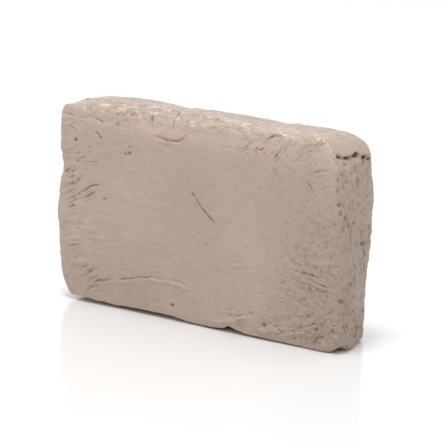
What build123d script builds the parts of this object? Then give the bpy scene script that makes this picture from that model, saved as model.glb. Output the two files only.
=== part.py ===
"""Clay bar: a hand-pressed block of soft detailing clay, standing on its long narrow side.

The bar is a front slab and a back slab pressed together, with thinner layers of the same clay
lapped over them: a flap folded over the top, a strip round the right-hand end, a flap turned up
from the underside, a lump in one bottom corner, a thumb-pressed pat and a few stuck crumbs.
Every layer beds face to face in a recess of its own depth, so the pieces fill the bar's outer form.

Millimetres. +X runs along the bar, +Y through it from the front face to the back, +Z is up.
The origin is the middle of the underside.
"""

import os

from build123d import *

# The bar's outer form
LENGTH = 101.0
HEIGHT = 59.0
THICKNESS = 21.0
TOP_LEFT_RADIUS = 4.5
TOP_RIGHT_RADIUS = 9.0
BOTTOM_LEFT_RADIUS = 8.0
BOTTOM_RIGHT_RADIUS = 5.5
FRONT_EDGE_RADIUS = 4.5
BACK_EDGE_RADIUS = 6.0

# Where the two slabs meet, measured from the middle of the thickness
SLAB_SEAM_Y = -3.0

# How deep each layer is pressed in, and where its edge shows
TOP_FOLD_DEPTH = 2.6
TOP_FOLD_EDGE = HEIGHT - 4.0
END_STRIP_DEPTH = 2.2
END_STRIP_WIDTH = 3.0
LOWER_FOLD_DEPTH = 1.6
LOWER_FOLD_LEFT = -41.0
LOWER_FOLD_RIGHT = 5.5
LOWER_FOLD_TOP = 13.0
PAT_DEPTH = 1.4
PAT_RADIUS = 7.0
PAT_X = -9.5
LUMP_RADIUS = 10.0
LUMP_REACH = 2.0
CRUMB_RADIUS = 0.8

HALF_LENGTH = LENGTH / 2
FRONT = -THICKNESS / 2
BACK = THICKNESS / 2
BEYOND = 10.0  # how far a cutting shape runs past the bar


def block(inset=0.0):
    """The bar's outer form, drawn in by inset on every side."""
    right = HALF_LENGTH - inset
    bottom, top = inset, HEIGHT - inset
    radii = (BOTTOM_LEFT_RADIUS, BOTTOM_RIGHT_RADIUS, TOP_RIGHT_RADIUS, TOP_LEFT_RADIUS)
    with BuildPart() as form:
        with BuildSketch(Plane.XZ):
            with BuildLine():
                FilletPolyline(
                    (-right, bottom),
                    (right, bottom),
                    (right, top),
                    (-right, top),
                    radius=[radius - inset for radius in radii],
                    close=True,
                )
            make_face()
        extrude(amount=BACK - inset, both=True)
        front_face = form.faces().sort_by(Axis.Y)[0]
        back_face = form.faces().sort_by(Axis.Y)[-1]
        fillet(front_face.edges(), FRONT_EDGE_RADIUS - inset)
        fillet(back_face.edges(), BACK_EDGE_RADIUS - inset)
    return form.part


def skin(depth):
    """A layer of even depth over the whole bar."""
    with BuildPart() as layer:
        add(block())
        add(block(depth), mode=Mode.SUBTRACT)
    return layer.part


def above_fold_edge():
    """The space above the top flap's lower edge, which wanders as it runs along the bar."""
    with BuildPart() as space:
        with BuildSketch(Plane.XZ):
            with BuildLine():
                edge = Spline(
                    (-HALF_LENGTH - BEYOND, TOP_FOLD_EDGE + 0.8),
                    (-32.0, TOP_FOLD_EDGE + 0.2),
                    (-8.0, TOP_FOLD_EDGE - 0.6),
                    (16.0, TOP_FOLD_EDGE + 0.4),
                    (HALF_LENGTH + BEYOND, TOP_FOLD_EDGE),
                )
                Polyline(
                    edge @ 1,
                    (HALF_LENGTH + BEYOND, HEIGHT + BEYOND),
                    (-HALF_LENGTH - BEYOND, HEIGHT + BEYOND),
                    edge @ 0,
                )
            make_face()
        extrude(amount=THICKNESS, both=True)
    return space.part


def upper_front_edge():
    """A plane on the upper front edge, facing out of it and up at 45 degrees."""
    return Plane(origin=(PAT_X, FRONT, HEIGHT), x_dir=(1, 0, 0), z_dir=(0, -1, 1))


# A pat of clay pressed with a thumb on to the upper front edge
with BuildPart() as thumb_pat:
    add(skin(PAT_DEPTH))
    with BuildSketch(upper_front_edge().offset(-BEYOND)):
        Circle(PAT_RADIUS)
    extrude(amount=2 * BEYOND, mode=Mode.INTERSECT)
thumb_pat.part.label = "thumb_pat"

# The flap folded over the top edge, down both faces and both ends
with BuildPart() as top_fold:
    add(skin(TOP_FOLD_DEPTH))
    add(above_fold_edge(), mode=Mode.INTERSECT)
    add(thumb_pat.part, mode=Mode.SUBTRACT)
top_fold.part.label = "top_fold"

# The lump pressed into the bottom corner of the right-hand end
with BuildPart() as corner_lump:
    add(block())
    with Locations((HALF_LENGTH - LUMP_REACH, FRONT + LUMP_REACH, LUMP_REACH)):
        Sphere(LUMP_RADIUS, mode=Mode.INTERSECT)
corner_lump.part.label = "corner_lump"

# The strip laid round the right-hand end, from the top flap down to the lump
with BuildPart() as end_strip:
    add(skin(END_STRIP_DEPTH))
    with BuildSketch(Plane.YZ.offset(HALF_LENGTH - END_STRIP_WIDTH)):
        Rectangle(4 * THICKNESS, 4 * HEIGHT)
    extrude(amount=BEYOND, mode=Mode.INTERSECT)
    add(above_fold_edge(), mode=Mode.SUBTRACT)
    add(corner_lump.part, mode=Mode.SUBTRACT)
end_strip.part.label = "end_strip"

# The flap turned up from the underside over the lower left of the front face
with BuildPart() as lower_fold:
    add(skin(LOWER_FOLD_DEPTH))
    with BuildSketch(Plane.XZ.offset(-FRONT - FRONT_EDGE_RADIUS)):
        with BuildLine():
            upper_edge = Spline(
                (LOWER_FOLD_LEFT, -BEYOND),
                (LOWER_FOLD_LEFT + 3.0, 0.5 * LOWER_FOLD_TOP),
                (-27.0, 0.74 * LOWER_FOLD_TOP),
                (-6.0, LOWER_FOLD_TOP),
                (LOWER_FOLD_RIGHT - 4.0, 0.8 * LOWER_FOLD_TOP),
                (LOWER_FOLD_RIGHT, -BEYOND),
            )
            Line(upper_edge @ 1, upper_edge @ 0)
        make_face()
    extrude(amount=BEYOND, mode=Mode.INTERSECT)
lower_fold.part.label = "lower_fold"

# What the layers are pressed on to, cut into the two slabs
with BuildPart() as core:
    add(block())
    for layer in (thumb_pat, top_fold, corner_lump, end_strip, lower_fold):
        add(layer.part, mode=Mode.SUBTRACT)

with BuildPart() as front_slab:
    add(core.part)
    split(bisect_by=Plane.XZ.offset(-SLAB_SEAM_Y), keep=Keep.TOP)
front_slab.part.label = "front_slab"

with BuildPart() as back_slab:
    add(core.part)
    split(bisect_by=Plane.XZ.offset(-SLAB_SEAM_Y), keep=Keep.BOTTOM)
back_slab.part.label = "back_slab"

# Crumbs of clay stuck to both ends and the top, each a separate half ball
with BuildPart() as crumbs:
    with Locations(
        (-HALF_LENGTH, -3.5, 46.5),
        (HALF_LENGTH, 2.5, 32.0),
        (12.0, 2.0, HEIGHT),
    ):
        Sphere(CRUMB_RADIUS)
    add(block(), mode=Mode.SUBTRACT)
crumbs.part.label = "crumbs"

os.makedirs("parts", exist_ok=True)
for piece in (
    front_slab,
    back_slab,
    top_fold,
    end_strip,
    lower_fold,
    corner_lump,
    thumb_pat,
    crumbs,
):
    export_step(piece.part, f"parts/{piece.part.label}.step")
    print(piece.part.label, len(piece.part.solids()), "solids", round(piece.part.volume), "mm3")
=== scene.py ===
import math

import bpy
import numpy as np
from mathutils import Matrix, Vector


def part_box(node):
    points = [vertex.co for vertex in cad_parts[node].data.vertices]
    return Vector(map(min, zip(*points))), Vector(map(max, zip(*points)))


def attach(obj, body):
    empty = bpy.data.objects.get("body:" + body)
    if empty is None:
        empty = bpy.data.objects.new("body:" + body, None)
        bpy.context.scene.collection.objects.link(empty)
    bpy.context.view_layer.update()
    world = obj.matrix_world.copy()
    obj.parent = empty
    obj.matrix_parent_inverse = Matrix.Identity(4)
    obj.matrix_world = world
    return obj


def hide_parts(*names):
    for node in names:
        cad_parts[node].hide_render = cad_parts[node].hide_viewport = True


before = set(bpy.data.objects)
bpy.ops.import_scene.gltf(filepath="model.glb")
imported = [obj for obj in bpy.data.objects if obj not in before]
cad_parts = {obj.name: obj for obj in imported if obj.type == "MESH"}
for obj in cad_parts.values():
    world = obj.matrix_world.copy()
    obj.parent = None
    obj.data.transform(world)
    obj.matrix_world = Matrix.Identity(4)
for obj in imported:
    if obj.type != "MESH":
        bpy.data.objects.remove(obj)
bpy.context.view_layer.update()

# The looks of the clay bar. The bar is carved on a grid of small cells that each hold their
# distance from the clay's surface. It starts as a slab with softened edges, and gets dents,
# creases, pits and laps pressed into it, face by face. Then it is cut along the seams into the
# pieces that it was pressed together from, and each piece becomes a closed mesh.
# Everything here is in millimetres until a mesh is made.

import openvdb
from mathutils import Matrix, Vector

MM = 0.001
CELL = 0.23
MARGIN = 2.0

# The bar's outer form, from the frame
HALF_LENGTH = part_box("end_strip")[1].x / MM
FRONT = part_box("front_slab")[0].y / MM
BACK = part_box("back_slab")[1].y / MM
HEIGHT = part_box("top_fold")[1].z / MM
MID_HEIGHT = HEIGHT / 2
HALF_THICKNESS = (BACK - FRONT) / 2 - 0.42  # the relief stands proud of it

# Places along the bar are measured from the middle of its top, which is left of the middle of
# its box, because the right-hand foot sticks out
TOP_MIDDLE = HALF_LENGTH - 52.0

rng = np.random.default_rng(20)


def reseed(number):
    """Start the random numbers afresh, so that one face's marks don't depend on another's."""
    global rng
    rng = np.random.default_rng(number)


# -------- noise and small helpers


def smoothstep(low, high, value):
    t = np.clip((value - low) / (high - low), 0.0, 1.0)
    return t * t * (3.0 - 2.0 * t)


def change(start, end, share):
    """A value that is start where share is 0, and end where it is 1."""
    return start + (end - start) * share


def smooth_max(a, b, reach):
    """The larger of two distances, rounded off where they cross."""
    return np.maximum(a, b) + 0.25 * reach * np.maximum(1 - np.abs(a - b) / reach, 0) ** 2


def rounded(a, b, radius):
    """Distance from a corner of the given radius, where two sides are a and b away."""
    a, b = a + radius, b + radius
    return np.minimum(np.maximum(a, b), 0) + np.hypot(np.maximum(a, 0), np.maximum(b, 0)) - radius


def spline_weights(count, size):
    """Weights that spread a coarse row of random values over count cells, one value per size mm."""
    place = np.arange(count) * CELL / size
    first = place.astype(int)
    f = place - first
    basis = ((1 - f) ** 3, 3 * f**3 - 6 * f**2 + 4, -3 * f**3 + 3 * f**2 + 3 * f + 1, f**3)
    weights = np.zeros((count, first[-1] + 4), np.float32)
    for step, part in enumerate(basis):
        weights[np.arange(count), first + step] = part / 6
    return weights


def noise(shape, *size):
    """Smooth random heights with a spread of 1, in lumps of a size in mm along each axis."""
    sizes = size if len(size) == len(shape) else size * len(shape)
    weights = [spline_weights(count, lump) for count, lump in zip(shape, sizes)]
    values = rng.standard_normal([w.shape[1] for w in weights]).astype(np.float32)
    for axis, w in enumerate(weights):
        values = np.moveaxis(np.tensordot(w, values, axes=(1, axis)), 0, axis)
    return values / values.std()


STEPS = 8  # straight stretches between two points of a smooth line


def curve_through(points):
    """A smooth line through a few points."""
    p = np.array(points, float)
    p = np.vstack([2 * p[0] - p[1], p, 2 * p[-1] - p[-2]])
    out = []
    for a, b, c, d in zip(p, p[1:], p[2:], p[3:]):
        square, cube = 2 * a - 5 * b + 4 * c - d, 3 * b - a - 3 * c + d
        for t in np.arange(STEPS) / STEPS:
            out.append(0.5 * (2 * b + (c - a) * t + square * t**2 + cube * t**3))
    return np.array(out + [p[-2]])


def follow(points, places):
    """The second number of a smooth line through points, at each place along the first."""
    line = curve_through(points)
    return np.interp(places, line[:, 0], line[:, 1])


# -------- relief on one face


class Relief:
    """Heights raised from one face, or pressed into it, on a grid of cells across and up it."""

    def __init__(self, across, up):
        self.across, self.up = across, up
        self.shape = (len(across), len(up))
        self.height = np.zeros(self.shape, np.float32)
        # No line in clay is ruled, so each face's places are pushed about a little
        self.u = across[:, None] + self.wander()
        self.v = up[None, :] + self.wander()
        patchy = 0.9 + 0.32 * noise(self.shape, 2.2) + 0.2 * noise(self.shape, 0.8)
        self.patchy = np.clip(patchy, 0.1, 1.7)

    def wander(self):
        steps = ((0.18, 3.5), (0.10, 1.3), (0.05, 0.6))
        return sum(far * noise(self.shape, size) for far, size in steps)

    def window(self, low, high, reach):
        """The slices of the grid within reach of a box on the face."""
        parts = []
        for places, a, b in zip((self.across, self.up), low, high):
            start = int(np.searchsorted(places, a - reach))
            stop = int(np.searchsorted(places, b + reach))
            parts.append(slice(start, max(stop, start + 1)))
        return tuple(parts)

    def beside(self, points, reach):
        """The window round a line, the distance to the left of it, the plain distance and the
        share of the line's length that lies behind."""
        line = curve_through(points)
        part = self.window(line.min(0), line.max(0), reach)
        u, v = self.u[part], self.v[part]
        lengths = np.hypot(*(line[1:] - line[:-1]).T)
        total, gone = lengths.sum(), 0.0
        nearest = np.full(u.shape, 1e9)
        left, share = np.zeros(u.shape), np.zeros(u.shape)
        for a, b, length in zip(line, line[1:], lengths):
            tu, tv = (b - a) / length
            du, dv = u - a[0], v - a[1]
            along = np.clip(du * tu + dv * tv, 0.0, length)
            away = np.hypot(du - along * tu, dv - along * tv)
            closer = away < nearest
            nearest = np.where(closer, away, nearest)
            left = np.where(closer, dv * tu - du * tv, left)
            share = np.where(closer, (gone + along) / total, share)
            gone += length
        return part, np.sign(left) * nearest, nearest, share

    def crease(self, points, depth, width=0.35, lip=0.35, lap=0.0, reach=2.5):
        """A line pressed in by depth. Its right side has a thin raised lip, as a share of the
        depth, and its left side can lap over, standing higher by lap and easing off in reach."""
        part, left, away, share = self.beside(points, 4 * width + (3 * reach if lap else 0))
        fade = np.sqrt(np.clip(5 * share, 0, 1) * np.clip(5 * (1 - share), 0, 1))
        strength = fade * self.patchy[part]
        inside = -depth * np.exp(-((away / width) ** 1.5))
        raised = lip * depth * np.exp(-(((left + 1.8 * width) / (1.1 * width)) ** 2))
        over = lap * np.where(left > 0, np.exp(-left / reach), 0)
        over = over * (1 - np.exp(-((left / width) ** 2)))
        self.height[part] += strength * (inside + raised) + fade * over

    def ridge(self, points, height, width=0.5):
        self.crease(points, -height, width, lip=0.0)

    def scratch(self, points, depth, width=0.4):
        """A line scored with a thin lip pushed up along both sides."""
        part, left, away, share = self.beside(points, 4 * width)
        fade = np.sqrt(np.clip(6 * share, 0, 1) * np.clip(6 * (1 - share), 0, 1))
        groove = -depth * np.exp(-((away / width) ** 1.5))
        lips = 0.4 * depth * np.exp(-(((away - 1.8 * width) / width) ** 2))
        self.height[part] += fade * self.patchy[part] * (groove + lips)

    def pit(self, place, radius, depth, stretch=1.0, turn=0.0):
        """A dent with a steep side, or with a negative depth a lump."""
        part = self.window(place, place, 3 * radius * max(stretch, 1.0))
        du, dv = self.u[part] - place[0], self.v[part] - place[1]
        c, s = math.cos(math.radians(turn)), math.sin(math.radians(turn))
        away = np.hypot((du * c + dv * s) / stretch, dv * c - du * s) / radius
        self.height[part] -= depth * np.exp(-(away**3))

    def pits(self, places, low, high, radius, depth, turn=80.0):
        """Scattered dents, most of them longer one way."""
        for _ in range(places):
            place = (rng.uniform(low[0], high[0]), rng.uniform(low[1], high[1]))
            size, press = rng.uniform(*radius), rng.uniform(*depth)
            self.pit(place, size, press, rng.uniform(1.0, 2.4), turn + rng.normal(0, 25))

    def wrinkles(self, count, low, high, turn, length, depth, width, bend=0.0):
        """Short lines scattered over a box. turn is their slope in degrees at its foot, and bend
        is how much it grows with each mm up."""
        for _ in range(count):
            u, v = rng.uniform(low[0], high[0]), rng.uniform(low[1], high[1])
            angle = math.radians(turn + bend * (v - low[1]) + rng.normal(0, 5))
            half = rng.uniform(*length) / 2
            du, dv = half * math.cos(angle), half * math.sin(angle)
            bow = rng.normal(0, 0.12)
            points = [(u - du, v - dv), (u - bow * dv, v + bow * du), (u + du, v + dv)]
            press = rng.uniform(*depth)
            if rng.random() < 0.3:
                self.ridge(points, 0.7 * press, rng.uniform(*width))
            else:
                self.crease(points, press, rng.uniform(*width))

    def drift(self, size, turn=0.0):
        """Random heights with a spread of about 1, in lumps of a length and width, turned."""
        c, s = math.cos(math.radians(turn)), math.sin(math.radians(turn))
        p = (self.u * c + self.v * s) / size[0]
        q = (self.v * c - self.u * s) / size[1]
        p, q = p - p.min(), q - q.min()
        i, j = p.astype(int), q.astype(int)
        values = rng.standard_normal((i.max() + 2, j.max() + 2))
        fp, fq = smoothstep(0, 1, p - i), smoothstep(0, 1, q - j)
        low = values[i, j] * (1 - fp) + values[i + 1, j] * fp
        high = values[i, j + 1] * (1 - fp) + values[i + 1, j + 1] * fp
        return 1.5 * (low * (1 - fq) + high * fq)

    def streaks(self, low, high, turn, size, depth, ease=3.0):
        """Wandering creases and small steps drawn out in one direction, in patches over a box."""
        lumps = self.drift(size, turn)
        patches = smoothstep(-0.6, 1.0, self.drift((4.0, 3.0), turn))
        inside = 1.0
        for places, a, b in zip((self.u, self.v), low, high):
            inside = inside * smoothstep(a - ease, a + ease, places)
            inside = inside * smoothstep(-b - ease, -b + ease, -places)
        steps = 0.5 * np.tanh(lumps / 0.5) - np.exp(-((lumps / 0.28) ** 2))
        self.height += (depth * inside * patches * steps).astype(np.float32)

    def rubbed(self, count, ends, line, off, dip, length, height, width):
        """Short ridges left by rubbing, strewn along a line."""
        for _ in range(count):
            u = rng.uniform(*ends)
            half = rng.uniform(*length)
            v = follow(line, u) + rng.normal(0, off)
            points = [(u - half, v - dip), (u, v + rng.normal(0, 0.1)), (u + half, v)]
            self.ridge(points, rng.uniform(*height), rng.uniform(*width))


# -------- the bar's form

X = np.arange(-HALF_LENGTH - MARGIN, HALF_LENGTH + MARGIN, CELL)
Y = np.arange(FRONT - MARGIN, BACK + MARGIN, CELL)
Z = np.arange(-MARGIN, HEIGHT + MARGIN, CELL)
x, y, z = (a.astype(np.float32) for a in np.meshgrid(X, Y, Z, indexing="ij", sparse=True))
FROM_MIDDLE = (x - TOP_MIDDLE, y, z)
GRID = (len(X), len(Y), len(Z))

# The outline of both ends from the foot up, as heights and places along the bar. The right-hand
# end is twisted: its foot sticks out at the front and is drawn in at the back.
LEFT_END = [
    (-4, -46.1), (0, -46.7), (4, -47.2), (8, -47.9), (12, -48.4), (16, -48.8), (20, -49.0),
    (24, -49.3), (30, -49.3), (34, -48.7), (37, -48.1), (40, -48.1), (43, -48.6), (46, -48.9),
    (50, -49.2), (55, -49.1), (62, -48.9),
]
RIGHT_END_FRONT = [
    (-4, 53.0), (0, 52.7), (8, 52.5), (16, 52.0), (27, 51.0), (38, 50.2), (49, 49.4), (62, 48.9),
]
RIGHT_END_BACK = [
    (-4, 47.7), (0, 47.8), (4, 47.8), (13, 47.5), (17.7, 47.9), (23.5, 48.3), (29, 49.0),
    (36, 49.3), (40.7, 49.5), (43.5, 49.3), (47, 48.9), (52, 49.0), (62, 50.0),
]
# Radii of the outline's corners, and of the edges round the front and the back
CORNERS = {"top_left": 3.4, "top_right": 9.3, "bottom_left": 7.5, "bottom_right": 5.4}
BOTTOM_RIGHT_BEHIND = 1.8  # the bottom right corner's radius behind the front
FRONT_EDGES = {"top": 2.4, "bottom": 1.6, "left": 2.8, "right": 1.3}
BOTTOM_EDGE_RIGHT = 0.3  # the front bottom edge's radius over its right half
RIGHT_EDGE_BELOW = 3.6  # the front right edge's radius over its lower half
BACK_EDGES = {"top": 4.3, "bottom": 4.2, "left": 3.6, "right": 2.6}

# How far the top stands above or below its level, as places along the bar and heights
TOP_LINE = [
    (-56, -1.0), (-47, -0.9), (-42, -0.3), (-36, 0.3), (-28, 0.5), (-20, 0.4), (-13, 0.25),
    (-4, 0.1), (7, 0.1), (16, 0.1), (28, -0.2), (56, 0.0),
]

# The rubbed ridge on the top, as places along and through the bar
RUBBED_RIDGE = [
    (-56, -3.0), (-41, -2.2), (-30, -2.6), (-20, -3.2), (-15, -2.6), (-8, -4.0), (0, -4.8),
    (14, -5.4),
]

# The upper front edge is wiped off to a slope, which starts at this height on the front face
SLOPE_FOOT = 54.6
SLOPE_OUT = (-0.66, 0.75)  # the way it faces, through the bar and up
SLOPE_TOP = [(-50, 7.4), (-10, 7.2), (25, 6.5), (50, 6.5)]  # how far up the slope its upper edge is


def bar_form():
    """Distance from a slab with rounded corners and softened edges, whose ends lean."""
    backward = (y - FRONT) / (BACK - FRONT)
    left = follow(LEFT_END, Z)[None, None, :].astype(np.float32)
    right_front = follow(RIGHT_END_FRONT, Z)[None, None, :].astype(np.float32)
    right_back = follow(RIGHT_END_BACK, Z)[None, None, :].astype(np.float32)
    right = change(right_front, right_back, backward)
    # The foot of this end bulges out behind the front corner
    right = right + 0.8 * np.exp(-(((backward - 0.38) / 0.22) ** 2)) * (1 - smoothstep(3, 12, z))
    across = x - TOP_MIDDLE - (right + left) / 2
    half = (right - left) / 2
    up = z - MID_HEIGHT
    top = np.where(across > 0, CORNERS["top_right"], CORNERS["top_left"])
    behind = smoothstep(0.1, 0.34, backward)
    bottom_right = change(CORNERS["bottom_right"], BOTTOM_RIGHT_BEHIND, behind)
    bottom = np.where(across > 0, bottom_right, CORNERS["bottom_left"])
    corner = np.where(up > 0, top, bottom)
    outline = rounded(np.abs(across) - half, np.abs(up) - MID_HEIGHT, corner)

    ease = 5.0  # how far round a corner one edge's radius turns into the next one's
    away = {"top": MID_HEIGHT - up, "bottom": MID_HEIGHT + up}
    away.update({"left": half + across, "right": half - across})
    near = {side: np.exp(-np.maximum(away[side], 0) / ease) for side in away}
    total = sum(near.values())
    radii = dict(FRONT_EDGES)
    radii["bottom"] = change(radii["bottom"], BOTTOM_EDGE_RIGHT, smoothstep(14, 26, x - TOP_MIDDLE))
    radii["right"] = change(radii["right"], RIGHT_EDGE_BELOW, smoothstep(-12, 6, MID_HEIGHT - z))
    front = sum(near[side] * radii[side] for side in near) / total
    back = sum(near[side] * BACK_EDGES[side] for side in near) / total
    edge = np.where(y < 0, front, back)
    form = rounded(outline, np.abs(y) - HALF_THICKNESS, edge)
    slope = (y - FRONT) * SLOPE_OUT[0] + (z - SLOPE_FOOT) * SLOPE_OUT[1]
    slope = slope - 1.8 * smoothstep(41, 48, TOP_MIDDLE - x)  # it runs out at the left-hand end
    # It eases into the front face, but meets the top in a firm edge
    reach = 1.4 + 2.6 * (1 - smoothstep(55.5, 58.5, z)) + 1.2 * smoothstep(38, 47, TOP_MIDDLE - x)
    return smooth_max(form, slope, reach).astype(np.float32)


form = bar_form()

# How much each cell belongs to each face: the squares of the form's normal, which add up to 1
slopes = np.gradient(form, CELL)
steepness = np.maximum(sum(s * s for s in slopes), 1e-6)
facing = {}
SIDES = (("left", "right"), ("front", "rear"), ("under", "top"))
for axis, (low_side, high_side) in enumerate(SIDES):
    share = slopes[axis] ** 2 / steepness
    facing[low_side] = np.where(slopes[axis] < 0, share, 0)
    facing[high_side] = np.where(slopes[axis] > 0, share, 0)
# The slope above the front face takes its share from the front and the top
both = facing["front"] + facing["top"]
turned = np.where((slopes[1] < 0) & (slopes[2] > 0), facing["top"] / np.maximum(both, 1e-6), 0)
tilt = SLOPE_OUT[1] ** 2 / (SLOPE_OUT[0] ** 2 + SLOPE_OUT[1] ** 2)
on_slope = np.where(turned < tilt, turned / tilt, (1 - turned) / (1 - tilt)) * (turned > 0)
facing["slope"] = both * on_slope
facing["front"] = facing["front"] + facing["top"] * (turned > 0)
share = both * np.maximum(turned - tilt, 0) / (1 - tilt)
facing["top"] = np.where(turned > 0, share, facing["top"])
share = both * np.maximum(1 - turned / tilt, 0)
facing["front"] = np.where(turned > 0, share, facing["front"])
del slopes, steepness, both, turned, on_slope, share

ALONG = X - TOP_MIDDLE
CLIMB = np.arange(-6.0, 20.0, CELL)
climb = (y - FRONT) * SLOPE_OUT[1] - (z - SLOPE_FOOT) * SLOPE_OUT[0]

front = Relief(ALONG, Z)
slope = Relief(ALONG, CLIMB)
rear = Relief(ALONG, Z)
right = Relief(Y, Z)
left = Relief(Y, Z)
top = Relief(ALONG, Y)
under = Relief(ALONG, Y)


def along_slope(values):
    """Values on the slope's grid, given to the cells at each height up the slope."""
    place = np.clip((climb[0] - CLIMB[0]) / CELL, 0, len(CLIMB) - 2)
    step = place.astype(int)
    part = (place - step).astype(np.float32)
    return values[:, step] * (1 - part) + values[:, step + 1] * part


# How values on a face's own grid are laid through the bar
LAY = {"slope": along_slope}
LAY["front"] = LAY["rear"] = lambda values: values[:, None, :]
LAY["left"] = LAY["right"] = lambda values: values[None, :, :]
LAY["top"] = LAY["under"] = lambda values: values[:, :, None]


def by_face(**values):
    """Values given for each face on its own grid, blended into one value for each cell."""
    return sum(facing[face] * LAY[face](a.astype(np.float32)) for face, a in values.items())


# -------- seams between the pieces

# The lower edge of the top flap on each face, as places across the face and heights
FOLD_FRONT = [
    (-56, 55.4), (-47, 55.2), (-43.5, 55.3), (-41, 54.6), (-38.5, 54.9), (-36, 54.6), (-32.8, 54.4),
    (-29, 55.0), (-24, 54.2), (-18, 54.6), (-13, 53.2), (-9, 52.4), (-7.2, 52.2), (-5, 52.6),
    (-3.6, 53.5), (-1.4, 54.7), (0.5, 55.4), (4, 55.6), (10, 55.4), (16, 55.0), (22, 54.6),
    (28, 55.2), (34, 55.4), (40, 55.2), (44, 55.2), (48, 54.9), (56, 54.8),
]
FOLD_REAR = [(-56, 55.6), (-38, 54.2), (-20, 55.4), (-4, 53.6), (14, 54.8), (30, 53.9), (56, 54.6)]
FOLD_LEFT = [(-14, 55.0), (-4, 54.2), (6, 55.4), (14, 55.2)]
FOLD_RIGHT = [
    (-14, 55.0), (-9, 54.9), (-7, 54.6), (-5.5, 53.9), (-2.9, 53.7), (-1, 53.9), (1.2, 54.0),
    (3.1, 53.5), (5.2, 53.0), (7.1, 52.2), (9, 51.8), (14, 51.6),
]

# The flap turned up from the underside, and the strip round the right-hand end
LOWER_FOLD = [
    (-41, -5), (-37.6, 1.5), (-36.4, 3.4), (-35, 5.6), (-33.6, 7.0), (-32, 7.7), (-28.4, 8.5),
    (-26, 8.6), (-20.8, 9.7), (-17.1, 10.7), (-13.4, 11.2), (-10.5, 11.5), (-6.2, 11.9),
    (-2.6, 11.6), (0.3, 10.9), (4, 8), (6.4, 3), (7, -5),
]
END_STRIP_EDGE = [
    (-4, 49.6), (6, 49.8), (14, 49.4), (22, 49.2), (30, 48.6), (38, 48.0), (46, 47.6), (60, 47.0),
]
LUMP_CENTRE = (47.5 + TOP_MIDDLE, -8.5, 0.6)
LUMP_RADIUS = 9.0
PAT_CENTRE = (-8.4, 3.2)
PAT_HALF = (6.6, 5.4)

# -------- marks on the front face


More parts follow.
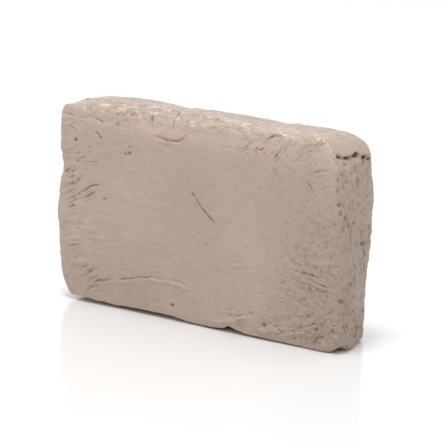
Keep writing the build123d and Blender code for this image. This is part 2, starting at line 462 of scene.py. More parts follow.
def sculpt_front():
    reseed(21)
    f = front
    # The top flap's edge, open at the left-hand end
    f.crease([(-47.2, 55.2), (-45.9, 55.3), (-43.6, 55.3), (-42.1, 54.9)], 0.5, 0.4, lap=0.2)
    f.crease([(-41.8, 54.9), (-39.5, 54.5), (-37.7, 54.9)], 0.6, 0.4, lap=0.3)
    f.crease([(-36.4, 55.0), (-34.2, 54.7), (-32.8, 54.3)], 0.55, 0.4, lap=0.3)
    f.pit((-27.4, 54.6), 0.55, 0.7)

    # Wrinkles that fan out from the left-hand end
    f.streaks((-49, 27), (-38, 50), 24, (4.0, 0.9), 0.22, 2.0)
    f.streaks((-49, 8), (-38, 27), 16, (4.0, 0.9), 0.20, 2.0)
    f.streaks((-48, 3), (-34, 14), 35, (3.5, 1.1), 0.20)
    f.streaks((-46, 38), (-20, 54), 4, (4.5, 1.3), 0.14)
    f.streaks((-38, 14), (-24, 38), 14, (5.0, 1.3), 0.12)
    f.wrinkles(44, (-46.5, 26), (-36, 47), 24, (1.5, 4.5), (0.12, 0.32), (0.18, 0.26))
    f.wrinkles(30, (-46.5, 8), (-35, 26), 16, (1.5, 4.0), (0.10, 0.28), (0.18, 0.26))
    f.wrinkles(22, (-40, 16), (-26, 52), 8, (1.5, 4.5), (0.05, 0.14), (0.2, 0.35))

    # Faint drag marks of the fingers over the whole face
    f.streaks((-50, 0), (52, 58), 12, (3.0, 0.8), 0.06)
    f.streaks((-50, 0), (52, 58), -38, (2.6, 0.7), 0.05)
    f.streaks((-50, 0), (52, 58), 80, (2.4, 0.8), 0.04)
    for points, depth in (
        ([(-45.3, 34.3), (-43.0, 35.5)], 0.5), ([(-44.5, 32.6), (-41.8, 33.5), (-39.9, 34.1)], 0.6),
        ([(-44.1, 30.5), (-41.4, 32.0), (-39.2, 33.0)], 0.6),
        ([(-39.9, 33.2), (-36.2, 34.9), (-32.8, 36.2)], 0.75),
        ([(-38.4, 31.6), (-36.1, 32.9), (-34.5, 33.6)], 0.6), ([(-44.5, 29.0), (-41.4, 30.4)], 0.6),
        ([(-44.4, 27.5), (-41.8, 29.1)], 0.7), ([(-43.7, 29.9), (-41.0, 31.1)], 0.35),
        ([(-44.7, 21.4), (-40.5, 22.9), (-37.9, 23.0)], 0.35),
        ([(-41.3, 23.0), (-38.3, 23.9), (-34.9, 25.9)], 0.55),
        ([(-36.0, 24.4), (-33.1, 24.2)], 0.35),
        ([(-43.5, 13.7), (-41.6, 15.2), (-39.7, 16.4)], 0.35),
        ([(-44.3, 18.4), (-42.0, 19.7)], 0.3), ([(-44.4, 11.1), (-41.2, 12.9)], 0.35),
        ([(-39.5, 44.6), (-38, 45), (-36, 45.3)], 0.3),
        ([(-39.7, 41.0), (-38, 42.1), (-33.5, 42.8)], 0.5), ([(-42.2, 41.3), (-41, 41.7)], 0.55),
        ([(-30.4, 43.2), (-29.2, 44.0)], 0.4), ([(-44.5, 36.1), (-42.8, 37.9)], 0.4),
        ([(-43.5, 34.8), (-41.8, 35.5), (-39.8, 36.1)], 0.45), ([(-32.5, 31.4), (-31, 32.1)], 0.35),
        ([(-46.5, 38.0), (-44.6, 39.4)], 0.5),
        ([(-34.9, 51.1), (-33.4, 50.1), (-31.9, 49.6)], 0.55),
    ):
        f.crease(points, 0.7 * depth, 0.24)
    f.ridge([(-40.5, 22.0), (-37.9, 22.2), (-34.5, 21.4)], 0.3)
    f.ridge([(-35.6, 19.2), (-32.2, 20.0), (-29.5, 19.8)], 0.3)
    for place, radius, depth in (
        ((-42.2, 48.0), 0.55, 1.0), ((-24.0, 46.6), 0.6, 0.6), ((-22.2, 46.9), 0.55, 0.7),
        ((-22.0, 48.7), 0.45, 0.4), ((-5.8, 4.4), 0.45, 1.2), ((1.2, 37.9), 0.6, 0.7),
        ((6.4, 23.9), 0.45, 0.3), ((3.1, 26.8), 0.45, 0.3), ((-31.6, 31.7), 0.4, 0.4),
        ((26.8, 4.6), 0.6, 1.1), ((36.6, 4.1), 0.4, 0.6), ((42.6, 20.8), 0.45, 0.7),
        ((24.0, 42.4), 0.5, 0.2), ((15.5, 5.2), 0.5, 0.3), ((22.6, 6.8), 0.6, 0.5),
        ((39.3, 9.5), 0.5, -0.7), ((45.3, 6.6), 0.4, -0.5), ((43.0, 4.2), 0.5, -0.5),
        ((49.4, 6.7), 0.5, 0.7), ((35.2, 8.9), 0.6, -0.4), ((47.9, 8.6), 0.5, -0.4),
        ((45.6, 11.2), 0.6, -0.35), ((50.6, 5.0), 0.7, -0.5), ((47.3, 2.2), 0.9, -0.5),
    ):
        f.pit(place, radius, depth)

    # The flap turned up from below, with a ridge under its long crease
    f.crease([(-34.6, 6.7), (-32.0, 7.7), (-28.4, 8.5)], 0.55, 0.34, lip=0.3)
    f.crease([(-26.0, 8.6), (-20.8, 9.7), (-17.1, 10.7), (-13.4, 11.2)], 0.48, 0.27, lip=0.5)
    crest = [(-14.5, 11.1), (-10.5, 11.5), (-6.2, 11.9), (-2.6, 11.6), (0.3, 10.9)]
    f.crease(crest, 0.28, 0.35, lip=0.6)
    f.ridge([(-30, 7.1), (-20, 8.6), (-12, 10.2), (-4, 10.9), (1, 9.8)], 0.25, 0.7)
    f.crease([(-39.6, 8.0), (-38.5, 10.0), (-36.6, 11.3)], 0.22, 0.45, lip=0.8)
    f.crease([(-38.0, 6.1), (-37.4, 8.0), (-35.4, 9.7), (-32.9, 10.6)], 0.26, 0.45, lip=0.9)
    f.crease([(-36.8, 2.6), (-35.7, 4.5), (-33.3, 5.9)], 0.38, 0.45)
    f.crease([(-36.5, 6.3), (-35.0, 7.8), (-32.8, 9.1)], 0.22, 0.4)
    f.streaks((-40, 2), (-26, 8), 20, (3.0, 1.2), 0.14, 1.5)
    f.streaks((-26, 1), (0, 9), 12, (5.0, 1.5), 0.08, 1.5)

    # The thumb's print in the upper edge
    arc = [(-13.9, 52.9), (-10.4, 52.8), (-9, 52.4), (-7.2, 52.2), (-5, 52.6), (-3.6, 53.5)]
    f.crease(arc + [(-1.6, 54.7)], 0.55, 0.36, lip=0.4, lap=0.3, reach=1.8)
    f.crease([(-14.0, 52.8), (-13.9, 54.0), (-14.2, 55.2)], 0.4, 0.45)
    f.pit((-8.4, 50.6), 1.0, 0.3, 1.6)
    f.ridge([(-7.6, 51.2), (-5, 51.6), (-3.6, 52.4)], 0.25, 0.4)

    # Scratches across the middle
    f.scratch([(0.9, 38.3), (4.8, 34.5), (7.3, 32.3), (9.5, 30.0)], 0.38, 0.3)
    f.ridge([(-5.2, 48.5), (-3.6, 43), (-2.6, 39.5)], 0.15, 1.1)
    f.crease([(-17.3, 36.4), (-15, 34.4), (-13.2, 32.9)], 0.25, 0.4)
    f.crease([(6.5, 26.2), (6.4, 24.2)], 0.2, 0.35)
    f.crease([(-23, 46.7), (-16, 48.2), (-11, 48.7), (-4, 49.0)], 0.14, 0.5)
    f.crease([(-21.5, 14.4), (-20.4, 14.8)], 0.25, 0.35)
    f.crease([(9.3, 52.7), (11.6, 53.0), (13.9, 53.1)], 0.3, 0.35)

    # The right-hand third
    f.crease([(24.8, 48.8), (27.2, 46.6)], 0.22, 0.45)
    f.crease([(28, 49.8), (30, 46.6), (32, 43.6), (34, 41.6)], 0.28, 0.5)
    line = [(40.0, 49.8), (41.6, 50.0), (43.1, 50.4), (46.4, 50.8), (48.6, 50.4)]
    f.crease(line, 0.5, 0.27, lip=0.3)
    f.crease([(39.8, 47.0), (41.1, 45.3), (43.1, 43.4)], 0.7, 0.34)
    for points, depth in (
        ([(45.5, 35.1), (47.2, 33.4), (48.6, 32.6)], 0.6),
        ([(45.3, 30.7), (48.2, 31.7), (49.7, 32.0)], 0.5),
        ([(30.1, 26.6), (32.2, 25.7), (33.9, 24.8), (35.9, 23.7)], 0.7),
        ([(31.8, 26.6), (34.3, 25.2)], 0.5), ([(31.4, 23.8), (33.2, 25.0)], 0.4),
        ([(36.7, 22.1), (39.0, 21.4), (42.4, 20.8), (45.1, 20.3)], 0.55),
        ([(33.7, 20.1), (38.5, 17.5)], 0.5),
        ([(38.5, 18.2), (42.5, 17.7), (45.9, 16.9), (49.8, 17.1)], 0.55),
        ([(32.7, 11.5), (36.1, 9.8), (39.5, 7.8)], 0.45), ([(33.9, 14.6), (37.4, 12.3)], 0.4),
        ([(41.5, 25.9), (44.1, 27.6), (47.3, 30.2)], 0.35),
        ([(24.4, 13.5), (26.5, 12.7), (28.2, 11.8)], 0.35),
        ([(37.0, 4.8), (40.3, 6.0), (44.2, 8.3), (46.8, 10.0)], 0.6),
        ([(42.9, 8.4), (45.5, 9.7), (48.1, 11.3), (50.6, 12.3)], 0.6),
        ([(50.4, 16.8), (51.6, 14.0)], 0.8), ([(48.9, 7.5), (49.9, 5.9)], 0.7),
        ([(35.1, 17.6), (40.6, 15.7), (45.3, 13.7)], 0.45),
        ([(39.8, 19.5), (45.1, 18.7), (49.7, 18.1)], 0.4), ([(36.0, 13.2), (40.7, 11.5)], 0.4),
        ([(50.1, 8.8), (51.6, 10.1)], 0.6), ([(48.3, 4.5), (50.9, 3.3)], 0.5),
        ([(29.9, 19.8), (34, 19.5)], 0.25), ([(16.4, 22.0), (19, 22.4), (22, 22.0)], 0.15),
    ):
        f.crease(points, 0.5 * depth, 0.25)
    f.ridge([(40.9, 24.2), (43.6, 24.8), (49.4, 25.5)], 0.35, 0.45)
    f.ridge([(15.2, 19.5), (18.0, 20.4), (21.1, 20.8)], 0.25, 0.45)
    f.streaks((36, 6), (53, 27), -18, (2.6, 0.7), 0.16)
    f.streaks((31, 8), (46, 26), -30, (2.6, 0.8), 0.10)
    f.streaks((38, 22), (53, 36), 8, (3.0, 0.9), 0.14)
    f.streaks((40, 30), (53, 54), 30, (2.6, 1.0), 0.14)
    f.streaks((22, 28), (40, 52), -50, (5.0, 1.6), 0.08)
    f.streaks((8, 1), (50, 7), 8, (2.6, 0.9), 0.30, 1.5)
    f.streaks((24, 2), (52, 12), -12, (2.6, 0.8), 0.18, 2.0)
    f.wrinkles(110, (32, 7), (51, 27), -18, (0.8, 3.0), (0.08, 0.26), (0.17, 0.23), bend=-0.5)
    f.wrinkles(50, (37, 2), (52, 11), 24, (0.8, 2.4), (0.10, 0.30), (0.17, 0.23))
    f.wrinkles(34, (38, 24), (51, 36), 10, (1.0, 3.5), (0.06, 0.18), (0.18, 0.26))
    f.wrinkles(26, (41, 34), (50, 53), 35, (0.8, 2.5), (0.06, 0.18), (0.18, 0.26))
    f.wrinkles(26, (16, 8), (34, 30), -12, (1.5, 4.0), (0.04, 0.12), (0.2, 0.35))

    # Diagonal strokes of the fingers below the slope
    f.wrinkles(60, (16, 51.5), (43, 56.5), 54, (1.8, 4.5), (0.12, 0.34), (0.2, 0.28))
    f.wrinkles(24, (-46, 51), (-18, 56), -28, (1.2, 3.5), (0.08, 0.24), (0.2, 0.28))
    f.crease([(28.2, 51.8), (29.6, 53.4), (30.6, 55.2)], 0.8, 0.32)

    # The bottom right corner
    f.crease([(44.1, 1.0), (44.0, 2.4), (44.4, 3.3), (46.0, 4.2), (48.0, 4.5)], 0.55, 0.36, lip=0.6)
    f.ridge([(36.3, 4.1), (39.7, 4.1), (43.0, 4.1)], 0.5, 0.45)
    f.ridge([(40.3, 5.2), (44.2, 7.4), (46.8, 9.2)], 0.35, 0.4)

    # Clay torn and lapped along the lower edge, beside the notch that lifts off the ground
    f.ridge([(8.5, 1.8), (10.5, 2.2), (12.9, 2.6)], 0.5, 0.6)
    f.ridge([(12.9, 2.4), (15.4, 3.2), (18.5, 3.6)], 0.5, 0.5)
    f.ridge([(16.4, 3.5), (18.5, 4.4), (21.2, 5.5)], 0.5, 0.45)
    f.crease([(16.6, 4.4), (18.7, 5.3), (21.4, 6.4)], 0.35, 0.4)
    f.ridge([(24, 3.4), (30, 2.8), (38, 3.0)], 0.25, 0.6)


def sculpt_slope():
    """The wiped slope over the front face: its places run along the bar and up the slope."""
    reseed(22)
    s = slope
    s.wrinkles(80, (15, -1.5), (44, 5.0), 54, (1.8, 5.0), (0.18, 0.50), (0.2, 0.3))
    s.wrinkles(26, (-46, -0.5), (-18, 7), 25, (1.2, 3.5), (0.15, 0.42), (0.22, 0.36))
    s.wrinkles(20, (-2, -0.5), (18, 6), 72, (1.0, 3.0), (0.15, 0.40), (0.22, 0.36))
    s.streaks((18, -1.5), (42, 5), 50, (3.2, 0.7), 0.30, 1.5)
    s.streaks((-2, -0.5), (22, 6), 70, (2.2, 0.8), 0.26, 1.5)
    s.streaks((-48, 0.0), (-20, 7), 30, (2.4, 0.8), 0.32, 1.5)
    s.streaks((-34, 0.0), (-10, 9), 92, (2.4, 0.9), 0.26, 1.5)
    s.streaks((36, -1.0), (52, 9), 20, (2.4, 1.0), 0.26, 1.5)
    s.height += 0.10 * noise(s.shape, 1.8) + 0.09 * noise(s.shape, 0.8)
    s.pits(16, (-44, 1), (46, 7), (0.2, 0.4), (0.1, 0.35), 60)
    for points, depth in (
        ([(-41.8, 0.2), (-39.5, 0.2), (-37.7, 0.8)], 0.5),
        ([(-38.6, 2.4), (-36.9, 1.3), (-34.2, 0.4)], 0.6),
        ([(-17.4, 6.6), (-16.6, 4.6), (-15.8, 3.0), (-15.0, 1.2)], 0.55),
        ([(-12.9, 6.5), (-12.3, 4.6), (-12.4, 3.4)], 0.4),
        ([(-1.9, -0.2), (-1.4, 0.4), (0.3, 1.7), (3.2, 2.2)], 0.55),
        ([(-16.9, 6.6), (-15.2, 6.6)], 0.35),
        ([(-6.3, 0.9), (-7.8, 3.7), (-8.0, 5.2), (-8.6, 8.3)], 0.65),
        ([(-3.9, 6.0), (-3.0, 4.2), (-2.7, 2.9), (-3.5, 1.0)], 0.5),
        ([(28.9, -1.6), (30.4, -0.2), (31.7, 2.6)], 1.1), ([(23.0, 0.0), (23.3, 1.0)], 0.6),
        ([(27.4, 0.6), (28, 1.2)], 0.5), ([(39.0, 1.2), (40.1, 2.0)], 0.6),
        ([(31.1, 4.3), (31.3, 6.0), (33.1, 6.7)], 0.4), ([(18.6, 7.9), (19.5, 7.6)], 0.5),
        ([(39.6, 0.9), (42.3, 1.2), (45.4, 1.5)], 0.25),
    ):
        s.crease(points, depth, 0.3)
    for place, depth in (((-29.1, 5.5), 0.3), ((-30.1, 2.0), 0.45), ((-28.6, 2.4), 0.3)):
        s.pit(place, 0.4, depth, 1.4, 40)
    s.ridge([(-36.3, 3.1), (-33.5, 3.2)], 0.35, 0.5)
    s.ridge([(-21.5, 8.0), (-18.9, 8.6), (-16.4, 8.9)], 0.4, 0.6)
    # The slope's upper edge is rubbed into a broken ridge
    s.rubbed(170, (-45, 47), SLOPE_TOP, 0.7, 0.1, (0.5, 1.6), (0.12, 0.45), (0.25, 0.45))


# -------- marks on the other faces


def sculpt_ends():
    reseed(23)
    r = right
    r.crease(FOLD_RIGHT[1:-1], 0.9, 0.5, lip=0.0, lap=0.9, reach=2.5)
    for place, radius, depth, stretch, turn in (
        ((0.4, 46.7), 0.55, 1.3, 2.2, 90), ((-5.1, 47.4), 0.5, 0.8, 1.4, 20),
        ((-7.0, 49.7), 0.5, 0.6, 1.3, 0), ((-2.5, 49.7), 0.45, 0.5, 1.6, 40),
        ((-5.5, 52.1), 0.6, 0.7, 1.5, 0), ((-0.3, 50.8), 0.6, 0.7, 2.2, 80),
        ((4.2, 52.0), 0.6, 0.8, 2.2, 70), ((-8.2, 52.6), 0.5, 0.7, 2.0, 80),
        ((-5.8, 38.0), 0.5, 0.9, 2.0, -60), ((-4.8, 35.6), 0.45, 0.9, 2.2, -70),
        ((-2.0, 35.5), 0.4, 0.5, 1.5, 60), ((4.0, 29.0), 0.5, 0.8, 1.5, 0),
        ((0.5, 29.7), 0.45, 0.6, 1.4, 0), ((5.4, 25.6), 0.45, 0.8, 2.2, -60),
        ((3.3, 23.4), 0.4, 0.7, 1.4, 60), ((-2.5, 18.1), 0.55, 0.9, 1.8, 30),
        ((-0.7, 10.6), 0.45, 0.7, 1.0, 0), ((7.0, 9.2), 0.5, 0.7, 1.5, 0),
        ((1.1, 4.8), 0.5, 0.7, 1.6, 60), ((-8.7, 39.9), 0.5, 1.0, 1.7, 80),
        ((-9.0, 42.1), 0.5, 0.9, 1.6, 80), ((-7.4, 34.7), 0.5, 0.8, 1.8, 70),
        ((-4.7, 40.4), 0.45, 0.7, 1.5, 60), ((2.6, 38.9), 0.45, 0.5, 1.5, 45),
        ((-9.4, 46.0), 0.45, 0.8, 2.0, 85), ((6.3, 21.1), 0.4, 0.6, 1.5, 60),
        ((-8.9, 30.0), 0.45, 0.6, 1.8, 80),
    ):
        r.pit(place, radius, depth, stretch, turn)
    r.crease([(-9.6, 16.0), (-8.0, 14.6), (-6.6, 13.4), (-4.6, 12.8)], 0.9, 0.45)
    r.crease([(-7.3, 7.4), (-6.5, 5.5)], 0.7, 0.4)
    r.crease([(-0.5, 4.0), (1.9, 5.1), (2.7, 6.1)], 0.6, 0.4)
    r.crease([(-8.6, 54.0), (-9.1, 52.6), (-9.5, 50.6)], 0.7, 0.4)
    r.streaks((-11, 3), (10, 54), 84, (5.0, 1.2), 0.30)
    r.streaks((-11, 28), (-2, 54), 70, (2.2, 0.9), 0.36)
    r.streaks((-11, 2), (6, 22), 60, (2.2, 0.9), 0.36)
    r.streaks((-11, 2), (10, 56), 10, (1.8, 0.9), 0.22)
    r.height += 0.06 * noise(r.shape, 0.8)
    r.pits(30, (-10, 24), (7, 54), (0.2, 0.4), (0.2, 0.6))
    r.pits(16, (-10, 3), (6, 24), (0.2, 0.4), (0.2, 0.6))
    left.streaks((-11, 3), (11, 55), 8, (5.0, 1.3), 0.30)
    left.streaks((-11, 3), (11, 55), 70, (3.0, 1.3), 0.20)
    left.crease(FOLD_LEFT, 0.6, 0.45, lap=0.4)
    left.pits(20, (-9, 5), (9, 53), (0.2, 0.4), (0.2, 0.55))
    left.wrinkles(50, (-10, 4), (10, 52), 12, (1.5, 5.0), (0.10, 0.32), (0.2, 0.3))
    left.height += 0.06 * noise(left.shape, 0.8)


def sculpt_top_and_rear():
    reseed(24)
    t = top
    t.streaks((-50, -12), (50, 11), 3, (5.0, 1.4), 0.20)
    t.streaks((-50, -12), (50, 11), 60, (2.6, 1.3), 0.16)
    t.height += follow(TOP_LINE, ALONG)[:, None]
    # The rubbed ridge wanders from the slope's edge on to the top, over the left half
    behind = smoothstep(-0.5, 0.5, t.v - follow(RUBBED_RIDGE, t.u))
    t.height += 0.35 * behind * smoothstep(0, 10, 12 - t.u)
    t.rubbed(90, (-46, 12), RUBBED_RIDGE, 0.5, 0.2, (0.5, 1.8), (0.10, 0.28), (0.25, 0.4))
    for points, depth in (
        ([(-8.4, -6.0), (-9.0, -3.6), (-9.4, -1.7)], 0.7),
        ([(-17.6, -6.2), (-18.1, -4.6), (-18.4, -3.0)], 0.5),
        ([(-12.1, -6.0), (-12.6, -4.6), (-13.0, -3.4)], 0.5), ([(-14.6, -4.0), (-13.6, -2.6)], 0.5),
    ):
        t.crease(points, depth, 0.36)
    b = rear
    b.crease(FOLD_REAR, 0.5, 0.45, lap=0.4)
    b.streaks((-52, 2), (52, 57), 6, (6.0, 1.6), 0.14)
    b.streaks((-52, 2), (-36, 57), -12, (5.0, 1.2), 0.26)
    b.streaks((36, 2), (52, 57), 14, (5.0, 1.2), 0.26)
    b.streaks((-52, 1), (52, 9), 5, (4.0, 1.3), 0.2, 1.5)
    b.scratch([(-12, 33), (-4, 29), (6, 27)], 0.45)
    b.scratch([(21, 41), (26, 34)], 0.4)
    b.crease([(-30, 8), (-16, 11), (0, 12), (16, 10)], 0.45, 0.4)
    b.pit((14, 20), 7.0, 0.35, 1.3, 30)
    b.pit((-24, 40), 6.0, 0.3, 1.2, -20)
    b.pits(9, (-44, 6), (44, 52), (0.2, 0.45), (0.3, 0.7))
    b.wrinkles(40, (-47, 6), (-34, 52), -14, (1.5, 5.0), (0.10, 0.30), (0.2, 0.3))
    b.wrinkles(46, (33, 6), (48, 52), 16, (1.5, 5.0), (0.10, 0.30), (0.2, 0.3))
    b.wrinkles(50, (-34, 8), (33, 52), 8, (1.5, 5.0), (0.05, 0.16), (0.2, 0.35))
    b.streaks((-50, 0), (52, 58), 14, (3.0, 0.8), 0.07)
    b.streaks((-50, 0), (52, 58), -42, (2.6, 0.7), 0.06)
    under.streaks((-50, -11), (50, 11), 5, (6.0, 1.6), 0.2)


sculpt_front()
sculpt_slope()
sculpt_ends()
sculpt_top_and_rear()

# -------- the surface of the whole bar

# Lumps of every size, which are strongest at the ends and edges and faint on the wiped front
reseed(25)
middle = smoothstep(1, 13, 49 - np.abs(ALONG)[:, None])
middle = middle * smoothstep(2, 9, MID_HEIGHT - np.abs(Z - MID_HEIGHT)[None, :])
wiped = facing["front"] * middle[:, None, :].astype(np.float32)
rough = 1 - 0.7 * wiped
surface = form.copy()
for size, height, even in ((17.0, 0.16, 1.0), (6.5, 0.10, 0.35), (2.6, 0.065, 0), (1.1, 0.035, 0)):
    surface -= height * noise(GRID, size) * (even + (1 - even) * rough)
surface -= by_face(
    front=front.height, slope=slope.height, rear=rear.height, left=left.height,
    right=right.height, top=top.height, under=under.height,
)


def hollow(centre, half_sizes):
    """Distance from an egg-shaped hole."""
    squares = (((g - c) / h) ** 2 for g, c, h in zip(FROM_MIDDLE, centre, half_sizes))
    return (np.sqrt(sum(squares)) - 1) * min(half_sizes)


# Gaps left open under the top flap at the right-hand end
for centre, half_sizes in (
    ((47.2, -7.0, 54.4), (1.9, 0.7, 0.38)),
    ((47.5, -6.0, 54.0), (1.5, 0.5, 0.30)),
    ((47.4, -2.9, 53.7), (1.9, 1.1, 0.40)),
    ((47.0, 1.0, 54.0), (2.9, 1.4, 0.85)),
    ((47.4, 5.1, 53.0), (2.3, 1.0, 0.60)),
    ((47.8, 7.3, 52.1), (1.8, 0.6, 0.45)),
):
    surface = smooth_max(surface, -hollow(centre, half_sizes), 0.3)

# The bar rests on the back of its underside. The front of it is drawn up off the ground, most
# of all at a notch.
LIFT = [
    (-56, 0.6), (-40, 1.4), (-33, 1.0), (-24, 1.55), (-15, 1.25), (-10, 1.35), (-5, 1.1), (0, 0.7),
    (4, 0.5), (8, 0.6), (12.4, 0.9), (14.5, 1.75), (16.4, 1.5), (18.7, 1.15), (23, 0.75),
    (33, 0.55), (41, 0.3), (47, 0.05), (56, 0.0),
]
lift = follow(LIFT, ALONG)[:, None] * smoothstep(-3.0, 0.0, -Y)[None, :]
lift = lift + 0.4 * smoothstep(42, 46, ALONG)[:, None] * smoothstep(-7, -3, Y)[None, :]
# Between the corner lump and the foot behind it is a gap
lift = lift + 1.5 * smoothstep(44, 47, ALONG)[:, None] * np.exp(-(((Y + 6.4) / 1.2) ** 2))[None, :]
lift = lift * (1 + 0.10 * noise(lift.shape, 3.0)) * (lift > 0.01)
surface = np.maximum(surface, np.maximum(lift, 0)[:, :, None].astype(np.float32) - z)

# -------- cutting it into its pieces

SLAB_SEAM = -3.0  # where it lies through the bar
DEPTHS = {"top_fold": 2.6, "end_strip": 2.2, "lower_fold": 1.6, "thumb_pat": 1.4}
TUCK = 0.7  # how far a piece runs on under the piece that laps over it
RIM = 0.3  # how much of the upper piece's thin rim the lower piece covers, smeared over it
FLUSH = 0.01  # how much the smeared clay stands over that rim
SINK = 0.6  # how fast the lower piece's surface drops away behind the rim

seam = 0.25 * noise(GRID, 3.0)

pat_across = (FROM_MIDDLE[0] - PAT_CENTRE[0]) / PAT_HALF[0]
pat_up = (climb - PAT_CENTRE[1]) / PAT_HALF[1]
pat = (np.hypot(pat_across, pat_up) - 1) * PAT_HALF[1]
pat = np.maximum(pat + seam, y)  # only in the front half
fold = by_face(
    front=follow(FOLD_FRONT, front.u) - front.v,
    slope=np.minimum(follow(FOLD_FRONT, slope.u) - SLOPE_FOOT, 0.5) - slope.v,
    rear=follow(FOLD_REAR, rear.u) - rear.v,
    left=follow(FOLD_LEFT, left.u) - left.v,
    right=follow(FOLD_RIGHT, right.u) - right.v,
    top=np.full(top.shape, -8.0),
    under=np.full(under.shape, 8.0),
)
lump = np.sqrt(sum((g - c) ** 2 for g, c in zip((x, y, z), LUMP_CENTRE))) - LUMP_RADIUS + seam
strip = (follow(END_STRIP_EDGE, front.v) - front.u)[:, None, :].astype(np.float32) + 0 * y
flap = (front.v - follow(LOWER_FOLD, front.u))[:, None, :].astype(np.float32)
flap = flap + np.maximum(y + 6.0, 0)


def layer(name, outline):
    """The space of a layer that is pressed in by its depth, within an outline."""
    return np.maximum(outline, -(form + DEPTHS[name]))


spaces = [
    ("thumb_pat", layer("thumb_pat", pat)),
    ("top_fold", layer("top_fold", fold)),
    ("corner_lump", lump),
    ("end_strip", layer("end_strip", strip)),
    ("lower_fold", layer("lower_fold", flap)),
    ("front_slab", y - SLAB_SEAM + 3 * seam),
    ("back_slab", np.full(GRID, -9.0, np.float32)),
]


REACH = 3.0  # distances are cut off beyond this
FEWEST_FACES = 30  # a loose part with fewer faces than this is a speck


def without_specks(points, triangles, quads):
    """The mesh without the tiny loose parts that are left where a rim gets thin."""
    a = np.concatenate([triangles[:, 0], triangles[:, 0], quads[:, 0], quads[:, 0], quads[:, 0]])
    b = np.concatenate([triangles[:, 1], triangles[:, 2], quads[:, 1], quads[:, 2], quads[:, 3]])
    part = np.arange(len(points))
    low = np.minimum(part[a], part[b])
    while (part[a] != low).any() or (part[b] != low).any():
        np.minimum.at(part, a, low)
        np.minimum.at(part, b, low)
        part = part[part]
        low = np.minimum(part[a], part[b])
    faces = np.bincount(part[np.concatenate([triangles[:, 0], quads[:, 0]])], minlength=len(part))
    whole = faces[part] >= FEWEST_FACES
    number = np.cumsum(whole) - 1
    triangles, quads = (number[sides[whole[sides[:, 0]]]] for sides in (triangles, quads))
    return points[whole], triangles, quads


def new_object(name, data):
    """An object in the scene."""
    made = bpy.data.objects.new(name, data)
    bpy.context.scene.collection.objects.link(made)
    return made


def clay_mesh(name, distance):
    """A closed mesh of the space where distance is negative, with sharp edges along seams."""
    grid = openvdb.FloatGrid(background=REACH)
    distance = np.ascontiguousarray(np.clip(distance, -REACH, REACH), dtype=np.float32)
    grid.copyFromArray(distance, tolerance=0.0)
    polygons = grid.convertToPolygons(isovalue=0.0, adaptivity=0.002)
    points, triangles, quads = without_specks(*polygons)
    points = (points * CELL + np.array([X[0], Y[0], Z[0]])) * MM
    mesh = bpy.data.meshes.new(name)
    corners = np.concatenate([triangles.ravel(), quads.ravel()]).astype(np.int32)
    sides = np.concatenate([np.full(len(triangles), 3), np.full(len(quads), 4)]).astype(np.int32)
    mesh.vertices.add(len(points))
    mesh.vertices.foreach_set("co", points.astype(np.float32).ravel())
    mesh.loops.add(len(corners))
    mesh.loops.foreach_set("vertex_index", corners)
    mesh.polygons.add(len(sides))
    starts = np.concatenate([[0], np.cumsum(sides)[:-1]]).astype(np.int32)
    mesh.polygons.foreach_set("loop_start", starts)
    mesh.polygons.foreach_set("use_smooth", np.ones(len(sides), bool))
    mesh.update(calc_edges=True)
    mesh.validate()
    mesh.set_sharp_from_angle(angle=math.radians(48))
    print(name, len(sides), "faces", len(triangles) + 2 * len(quads), "triangles")
    return new_object(name, mesh)


pieces = {}
taken = np.full(GRID, 9.0, np.float32)  # distance from the pieces already cut
for name, space in spaces:
    own = np.maximum(space, -(taken + TUCK))
    skin = surface - FLUSH * len(pieces) + SINK * np.maximum(-taken - RIM, 0)
    pieces[name] = clay_mesh("clay_" + name, np.maximum(skin, own))
    taken = np.minimum(taken, space)


# -------- crumbs


def crumb(centre, radius):
    """Distance from a small ball of clay."""
    return np.sqrt(sum((g - c) ** 2 for g, c in zip(FROM_MIDDLE, centre))) - radius


CRUMBS = (
    ((-48.0, -9.0, 44.8), 0.55),
    ((-48.7, -3.5, 46.5), 0.6),
    ((49.6, 2.5, 32.0), 0.6),
    ((12.0, 2.0, HEIGHT - 0.2), 0.5),
    ((24.5, BACK - 0.3, 37.0), 0.6),
)
lumps = np.full(GRID, 9.0, np.float32)
for centre, radius in CRUMBS:
    lumps = np.minimum(lumps, crumb(centre, radius))
lumps += 0.12 * noise(GRID, 0.9)
pieces["crumbs"] = clay_mesh("clay_crumbs", np.maximum(lumps, -(surface + 0.4)))

# -------- material


def add_node(tree, kind, values, **settings):
    """A shader node with its settings made, and its inputs set to values or linked to outputs."""
    node = tree.nodes.new("ShaderNode" + kind)
    for setting, value in settings.items():
        setattr(node, setting, value)
    for socket, value in values.items():
        if isinstance(value, bpy.types.NodeSocket):
            tree.links.new(value, node.inputs[socket])
        else:
            node.inputs[socket].default_value = value
    return node


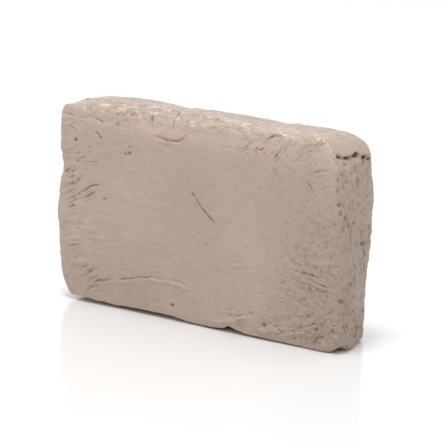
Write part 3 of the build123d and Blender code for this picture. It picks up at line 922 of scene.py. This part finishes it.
def clay_material():
    """Soft beige clay: slightly waxy, with fine grain, faint cloudy colour, oily edges, painted
    shade and highlights.
    """
    material = bpy.data.materials.new("clay")
    material.use_nodes = True
    tree = material.node_tree
    tree.nodes.clear()
    place = add_node(tree, "TexCoord", {}).outputs["Object"]

    def noise_node(scale, detail, roughness=0.5, distortion=0.0, spread=place):
        values = {"Scale": scale, "Detail": detail, "Roughness": roughness}
        values.update({"Distortion": distortion, "Vector": spread})
        return add_node(tree, "TexNoise", values).outputs["Fac"]

    def span(source, low, high, to_low=0.0, to_high=1.0):
        values = {"Value": source, "From Min": low, "From Max": high}
        values.update({"To Min": to_low, "To Max": to_high})
        return add_node(tree, "MapRange", values).outputs["Result"]

    def product(a, b):
        return add_node(tree, "Math", {0: a, 1: b}, operation="MULTIPLY").outputs["Value"]

    def blend(factor, a, b, kind="MIX"):
        values = {"Factor": factor, "A": a, "B": b}
        return add_node(tree, "Mix", values, data_type="RGBA", blend_type=kind).outputs["Result"]

    def tint(colour, share, by):
        """A colour multiplied by another one, as far as share says."""
        return blend(share, colour, by, "MULTIPLY")

    # Colour: broad faint clouds, then small darker flecks
    dark, pale = (0.424, 0.331, 0.268, 1), (0.462, 0.363, 0.297, 1)
    colour = blend(span(noise_node(38.0, 3.0), 0.3, 0.7), dark, pale)
    colour = tint(colour, span(noise_node(700.0, 2.0), 0.60, 0.80, 0, 0.35), (0.80, 0.78, 0.76, 1))
    colour = tint(colour, span(noise_node(260.0, 3.0), 0.35, 0.65), (0.955, 0.95, 0.95, 1))

    # Painted shade: darker towards the foot and over the lower right-hand corner, standing in for
    # shade there
    where = add_node(tree, "SeparateXYZ", {"Vector": place}).outputs
    colour = tint(colour, span(where["Z"], 0.024, 0.001), (0.92, 0.91, 0.90, 1))
    lower_right_shade = product(span(where["X"], 0.022, 0.040), span(where["Z"], 0.056, 0.020))
    colour = tint(colour, lower_right_shade, (0.86, 0.86, 0.86, 1))
    # Darker mottled flecks over the same corner
    corner_mottle = product(lower_right_shade, span(noise_node(620.0, 3.0, 0.6, 0.5), 0.55, 0.66, 0, 0.9))
    colour = tint(colour, corner_mottle, (0.60, 0.58, 0.56, 1))

    # Painted shade: darker in creases and hollows, where less light reaches
    crease_shade = add_node(tree, "NewGeometry", {}).outputs["Pointiness"]
    colour = tint(colour, span(crease_shade, 0.50, 0.42), (0.80, 0.78, 0.76, 1))

    # Gloss: dull on the faces, waxy along the top, where fingers rubbed it
    rubbed = span(where["Z"], 0.053, 0.058)
    # Painted sheen: a patchy, slightly darker and greyer tint along the top, standing in for the
    # sheen's grey tone
    sheen_tint = blend(rubbed, (1.0, 1.0, 1.0, 1), (0.95, 0.96, 0.98, 1))
    colour = tint(colour, span(noise_node(500.0, 3.0, 0.6, 0.4), 0.40, 0.70), sheen_tint)

    # Painted highlights: pale glints along the ridge at the front of the top, drawn out along the
    # bar
    ridge = product(span(where["Z"], 0.0572, 0.0585), span(where["Y"], 0.0005, -0.003))
    drawn_out = add_node(tree, "VectorMath", {0: place, 1: (0.4, 1.0, 1.0)}, operation="MULTIPLY")
    glint_noise = noise_node(800.0, 2.0, 0.6, 0.3, drawn_out.outputs["Vector"])
    colour = blend(product(ridge, span(glint_noise, 0.56, 0.64, 0, 0.6)), colour, (0.74, 0.66, 0.60, 1))
    patches = span(noise_node(150.0, 3.0, 0.6), 0.35, 0.7, 0.62, 0.46)
    gloss = span(noise_node(420.0, 2.0, 0.6), 0.35, 0.65, 0.45, 0.20)
    roughness = add_node(tree, "Mix", {0: rubbed, 2: patches, 3: gloss}).outputs[0]

    # Grain: fine pits and the drag marks of fingers
    fine = {"Height": noise_node(1500.0, 4.0, 0.65), "Strength": 0.6, "Distance": 0.00015}
    coarse = {"Height": noise_node(420.0, 3.0, 0.5, 0.4), "Strength": 0.45, "Distance": 0.0003}
    coarse["Normal"] = add_node(tree, "Bump", fine).outputs["Normal"]
    normal = add_node(tree, "Bump", coarse).outputs["Normal"]

    values = {"Base Color": colour, "Roughness": roughness, "IOR": 1.47, "Normal": normal}
    shader = add_node(tree, "BsdfPrincipled", values)
    add_node(tree, "OutputMaterial", {"Surface": shader.outputs["BSDF"]})
    return material


clay = clay_material()
for name, piece in pieces.items():
    piece.data.materials.append(clay)
    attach(piece, "root")
    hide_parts(name)

# -------- floor, light and camera


def floor():
    mesh = bpy.data.meshes.new("floor")
    size = 4.0
    corners = [(-size, -size, 0), (size, -size, 0), (size, size, 0), (-size, size, 0)]
    mesh.from_pydata(corners, [], [(0, 1, 2, 3)])
    material = bpy.data.materials.new("pale_floor")
    material.use_nodes = True
    shader = material.node_tree.nodes["Principled BSDF"]
    shader.inputs["Base Color"].default_value = (0.86, 0.86, 0.86, 1)
    shader.inputs["Roughness"].default_value = 0.15
    mesh.materials.append(material)
    new_object("floor", mesh)


def soft_light(name, place, target, size, power):
    data = bpy.data.lights.new(name, "AREA")
    data.shape = "SQUARE"
    data.size = size
    data.energy = power
    lamp = new_object(name, data)
    lamp.location = place
    lamp.rotation_euler = (Vector(target) - Vector(place)).to_track_quat("-Z", "Y").to_euler()


floor()
world = bpy.data.worlds.new("studio")
bpy.context.scene.world = world
world.use_nodes = True
# White all round, but dimmer on the side that the right-hand end faces
tree = world.node_tree
way = add_node(tree, "TexCoord", {}).outputs["Generated"]
sides = add_node(tree, "SeparateXYZ", {"Vector": way}).outputs["X"]
dim = add_node(tree, "MapRange", {"Value": sides, "To Min": 1.0, "To Max": 0.87})
tree.links.new(dim.outputs["Result"], tree.nodes["Background"].inputs["Strength"])
tree.nodes["Background"].inputs["Color"].default_value = (1.0, 1.0, 1.0, 1)

middle_of_bar = (0, 0, MID_HEIGHT * MM)
soft_light("overhead", (-0.02, -0.20, 1.10), middle_of_bar, 0.25, 5.0)

# The camera stands in front of the right-hand end, a little above the bar, rolled by about a degree
AZIMUTH, ELEVATION, ROLL = math.radians(36.0), math.radians(12.5), math.radians(1.4)
DISTANCE = 695.0
LENS = 194.5
AIM_HEIGHT, AIM_RIGHT, AIM_UP = 28.6, 3.88, -0.98

level = Vector((math.cos(AZIMUTH), math.sin(AZIMUTH), 0))
flat = math.cos(ELEVATION)
toward_camera = Vector((math.sin(AZIMUTH) * flat, -math.cos(AZIMUTH) * flat, math.sin(ELEVATION)))
upward = toward_camera.cross(level)
rolled_right = math.cos(ROLL) * level + math.sin(ROLL) * upward
rolled_up = math.cos(ROLL) * upward - math.sin(ROLL) * level
aim = Vector((TOP_MIDDLE, 0, AIM_HEIGHT)) + AIM_RIGHT * rolled_right + AIM_UP * rolled_up
camera = new_object("camera", bpy.data.cameras.new("camera"))
camera.data.lens = LENS
camera.data.sensor_width = 36.0
camera.data.clip_start, camera.data.clip_end = 0.01, 20.0
turn = Matrix((rolled_right, rolled_up, toward_camera)).transposed()
camera.matrix_world = Matrix.Translation((aim + DISTANCE * toward_camera) * MM) @ turn.to_4x4()
bpy.context.scene.camera = camera
bpy.context.scene.view_settings.view_transform = "Standard"
